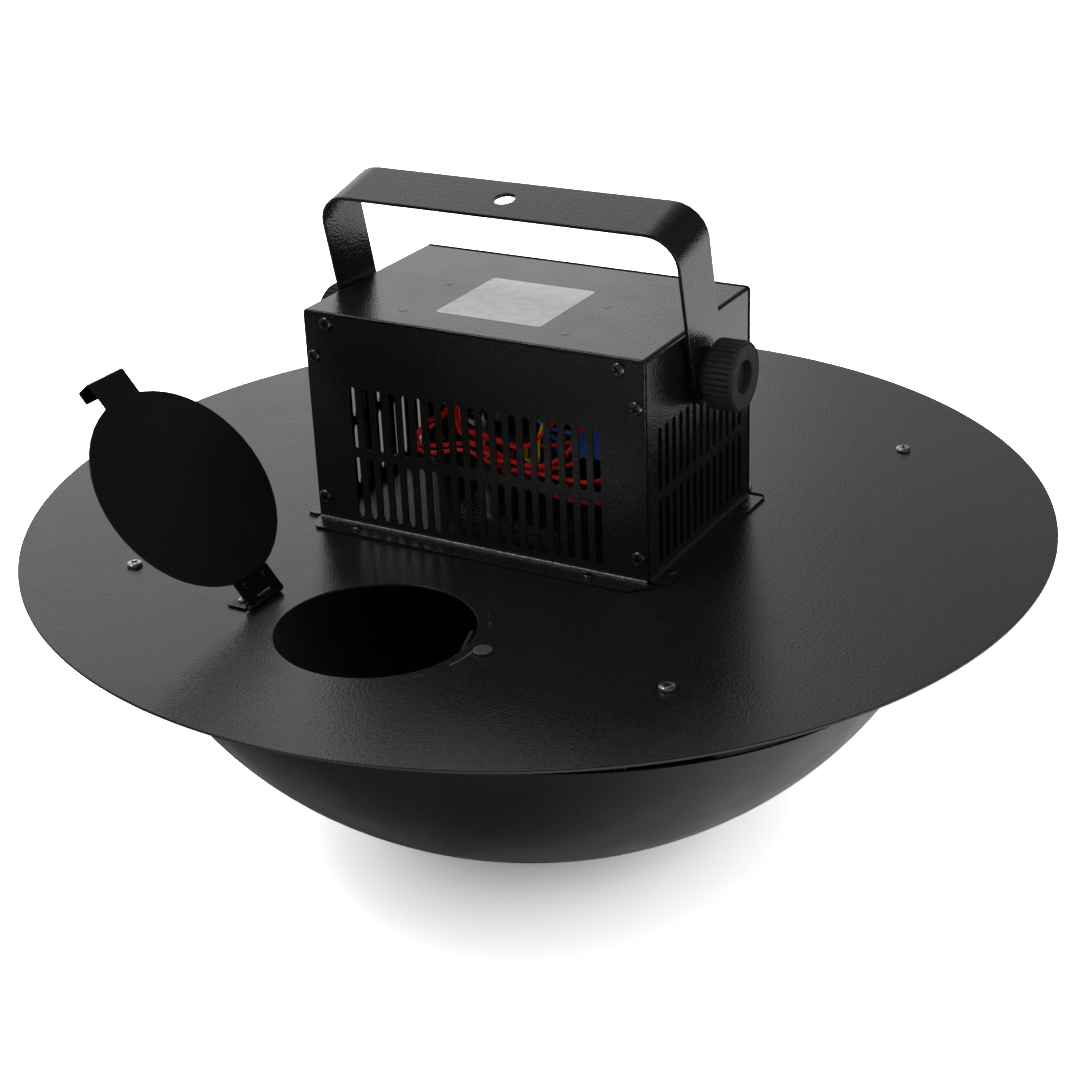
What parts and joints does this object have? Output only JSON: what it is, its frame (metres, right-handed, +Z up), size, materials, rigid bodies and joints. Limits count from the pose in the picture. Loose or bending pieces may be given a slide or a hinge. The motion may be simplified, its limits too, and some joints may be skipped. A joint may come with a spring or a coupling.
{
  "type": "confetti blower",
  "caption": "Hanging confetti blower: a round deck plate with an electronics housing and yoke above, and a deep bowl with an impeller below.",
  "frame": {"origin": "middle of the bolt hole in the yoke's bar, on the bar's outer face, where the machine hangs", "axes": "+Z up, +X to the machine's right along the yoke's pivot axis, -Y to the front, where the fill hole is"},
  "size_m": [0.53, 0.53, 0.346],
  "materials": {
    "powder_coat": "black fine-textured powder coat",
    "satin_black": "satin black paint",
    "black_plastic": "matt black moulded plastic",
    "zinc": "zinc-plated steel",
    "dark_steel": "blackened steel",
    "black_rubber": "matt black rubber",
    "brass": "bright brass",
    "aluminium": "mill-finish aluminium",
    "board_green": "green circuit board",
    "blue_plastic": "blue moulded plastic",
    "white_plastic": "off-white moulded plastic",
    "red_sleeve": "red wire insulation",
    "blue_sleeve": "blue wire insulation",
    "yellow_sleeve": "yellow wire insulation",
    "white_sleeve": "white wire insulation"
  },
  "bodies": {
    "yoke": {"hanging_yoke": "powder_coat"},
    "machine": {"friction_washer_right": "black_rubber", "friction_washer_left": "black_rubber", "pivot_nut_right": "zinc", "pivot_nut_left": "zinc", "top_cover": "powder_coat", "front_panel": "powder_coat", "rear_panel": "powder_coat", "top_plate": "powder_coat", "bowl": "satin_black", "bowl_bracket_front_right": "powder_coat", "bowl_bracket_rear_right": "powder_coat", "bowl_bracket_rear_left": "powder_coat", "bowl_bracket_front_left": "powder_coat", "bracket_screw_front_right": "zinc", "bracket_screw_rear_right": "zinc", "bracket_screw_rear_left": "zinc", "bracket_screw_front_left": "zinc", "hinge_leaf_deck": "dark_steel", "hinge_pin": "zinc", "catch_magnet": "zinc", "motor": "dark_steel", "motor_mount": "zinc", "shaft_bearing": "zinc", "control_board": "board_green", "board_standoff_front_left": "zinc", "board_standoff_front_right": "zinc", "board_standoff_rear_left": "zinc", "board_standoff_rear_right": "zinc", "terminal_block": "blue_plastic", "transformer": "dark_steel", "motor_relay": "black_plastic", "lead_plug": "white_plastic", "lead_red_supply": "red_sleeve", "lead_red_plug": "red_sleeve", "lead_red_link": "red_sleeve", "lead_red_terminal": "red_sleeve", "lead_red_motor": "red_sleeve", "lead_red_switch": "red_sleeve", "lead_blue_motor": "blue_sleeve", "lead_blue_supply": "blue_sleeve", "lead_yellow_motor": "yellow_sleeve", "lead_white_plug": "white_sleeve", "mains_inlet": "black_plastic", "inlet_pin_live": "brass", "inlet_pin_neutral": "brass", "inlet_pin_earth": "brass", "switch_body": "black_plastic"},
    "knob_right": {"clamp_knob_right": "black_plastic"},
    "knob_left": {"clamp_knob_left": "black_plastic"},
    "lid": {"fill_lid": "satin_black", "hinge_leaf_lid": "dark_steel"},
    "rotor": {"drive_shaft": "zinc", "impeller": "aluminium", "impeller_nut": "zinc"},
    "switch": {"switch_rocker": "black_plastic"},
    "fuse": {"fuse_drawer": "black_plastic"}
  },
  "joints": [
    {"name": "yoke_tilt", "type": "hinge", "parent": "yoke", "child": "machine", "pos_m": [0, 0.01849, -0.08009], "axis": [1, 0, 0], "range_deg": [-102, 128]},
    {"name": "knob_turn_right", "type": "hinge", "parent": "machine", "child": "knob_right", "pos_m": [0.1, 0.01849, -0.08009], "axis": [1, 0, 0], "range_deg": [0, 360]},
    {"name": "knob_turn_left", "type": "hinge", "parent": "machine", "child": "knob_left", "pos_m": [-0.1, 0.01849, -0.08009], "axis": [-1, 0, 0], "range_deg": [0, 360]},
    {"name": "lid_hinge", "type": "hinge", "parent": "machine", "child": "lid", "pos_m": [-0.064, -0.13331, -0.16659], "axis": [0, 1, 0], "range_deg": [0, 129.5]},
    {"name": "impeller_spin", "type": "hinge", "parent": "machine", "child": "rotor", "pos_m": [0, 0.01849, -0.25], "axis": [0, 0, 1], "continuous": true},
    {"name": "switch_rock", "type": "hinge", "parent": "machine", "child": "switch", "pos_m": [-0.008, 0.07719, -0.12709], "axis": [1, 0, 0], "range_deg": [0, 18]},
    {"name": "fuse_drawer_slide", "type": "slide", "parent": "machine", "child": "fuse", "axis": [0, 1, 0], "range_m": [0, 0.012]}
  ]
}
